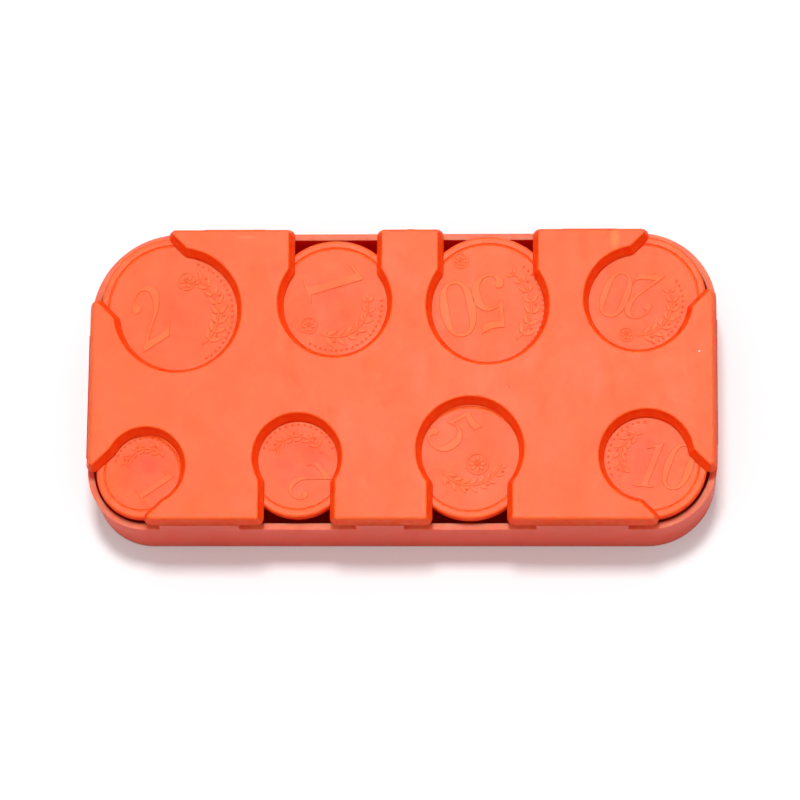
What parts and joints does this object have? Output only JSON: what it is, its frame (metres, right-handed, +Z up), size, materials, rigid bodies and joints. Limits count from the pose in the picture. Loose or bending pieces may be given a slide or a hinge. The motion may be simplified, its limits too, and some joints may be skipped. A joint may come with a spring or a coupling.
{
  "type": "coin dispenser",
  "caption": "Flat pocket coin dispenser: a tray of round pockets under a cover with keyhole openings, where sprung coin-shaped pushers lift coins to be thumbed out.",
  "frame": {"origin": "middle of the flat underside", "axes": "+X along the rows of pockets, +Y towards the back row, +Z up out of the cover"},
  "size_m": [0.104, 0.0506, 0.019],
  "materials": {
    "tray_plastic": "fine satin moulded plastic, orange",
    "cover_plastic": "fine satin moulded plastic, orange",
    "pusher_plastic": "fine satin moulded plastic with low relief, orange",
    "spring_steel": "drawn spring wire"
  },
  "bodies": {
    "case": {"tray": "tray_plastic", "cover": "cover_plastic", "spring_200": "spring_steel", "spring_100": "spring_steel", "spring_50": "spring_steel", "spring_20": "spring_steel", "spring_1": "spring_steel", "spring_2": "spring_steel", "spring_5": "spring_steel", "spring_10": "spring_steel"},
    "pusher_200": {"pusher_200": "pusher_plastic"},
    "pusher_100": {"pusher_100": "pusher_plastic"},
    "pusher_50": {"pusher_50": "pusher_plastic"},
    "pusher_20": {"pusher_20": "pusher_plastic"},
    "pusher_1": {"pusher_1": "pusher_plastic"},
    "pusher_2": {"pusher_2": "pusher_plastic"},
    "pusher_5": {"pusher_5": "pusher_plastic"},
    "pusher_10": {"pusher_10": "pusher_plastic"}
  },
  "joints": [
    {"name": "press_200", "type": "slide", "parent": "case", "child": "pusher_200", "axis": [0, 0, -1], "range_m": [0, 0.0092], "stiffness_N_per_m": 150, "springref_m": -0.008, "deforming": ["spring_200"]},
    {"name": "press_100", "type": "slide", "parent": "case", "child": "pusher_100", "axis": [0, 0, -1], "range_m": [0, 0.0092], "stiffness_N_per_m": 150, "springref_m": -0.008, "deforming": ["spring_100"]},
    {"name": "press_50", "type": "slide", "parent": "case", "child": "pusher_50", "axis": [0, 0, -1], "range_m": [0, 0.0092], "stiffness_N_per_m": 150, "springref_m": -0.008, "deforming": ["spring_50"]},
    {"name": "press_20", "type": "slide", "parent": "case", "child": "pusher_20", "axis": [0, 0, -1], "range_m": [0, 0.0092], "stiffness_N_per_m": 150, "springref_m": -0.008, "deforming": ["spring_20"]},
    {"name": "press_1", "type": "slide", "parent": "case", "child": "pusher_1", "axis": [0, 0, -1], "range_m": [0, 0.0092], "stiffness_N_per_m": 150, "springref_m": -0.008, "deforming": ["spring_1"]},
    {"name": "press_2", "type": "slide", "parent": "case", "child": "pusher_2", "axis": [0, 0, -1], "range_m": [0, 0.0092], "stiffness_N_per_m": 150, "springref_m": -0.008, "deforming": ["spring_2"]},
    {"name": "press_5", "type": "slide", "parent": "case", "child": "pusher_5", "axis": [0, 0, -1], "range_m": [0, 0.0092], "stiffness_N_per_m": 150, "springref_m": -0.008, "deforming": ["spring_5"]},
    {"name": "press_10", "type": "slide", "parent": "case", "child": "pusher_10", "axis": [0, 0, -1], "range_m": [0, 0.0092], "stiffness_N_per_m": 150, "springref_m": -0.008, "deforming": ["spring_10"]}
  ]
}
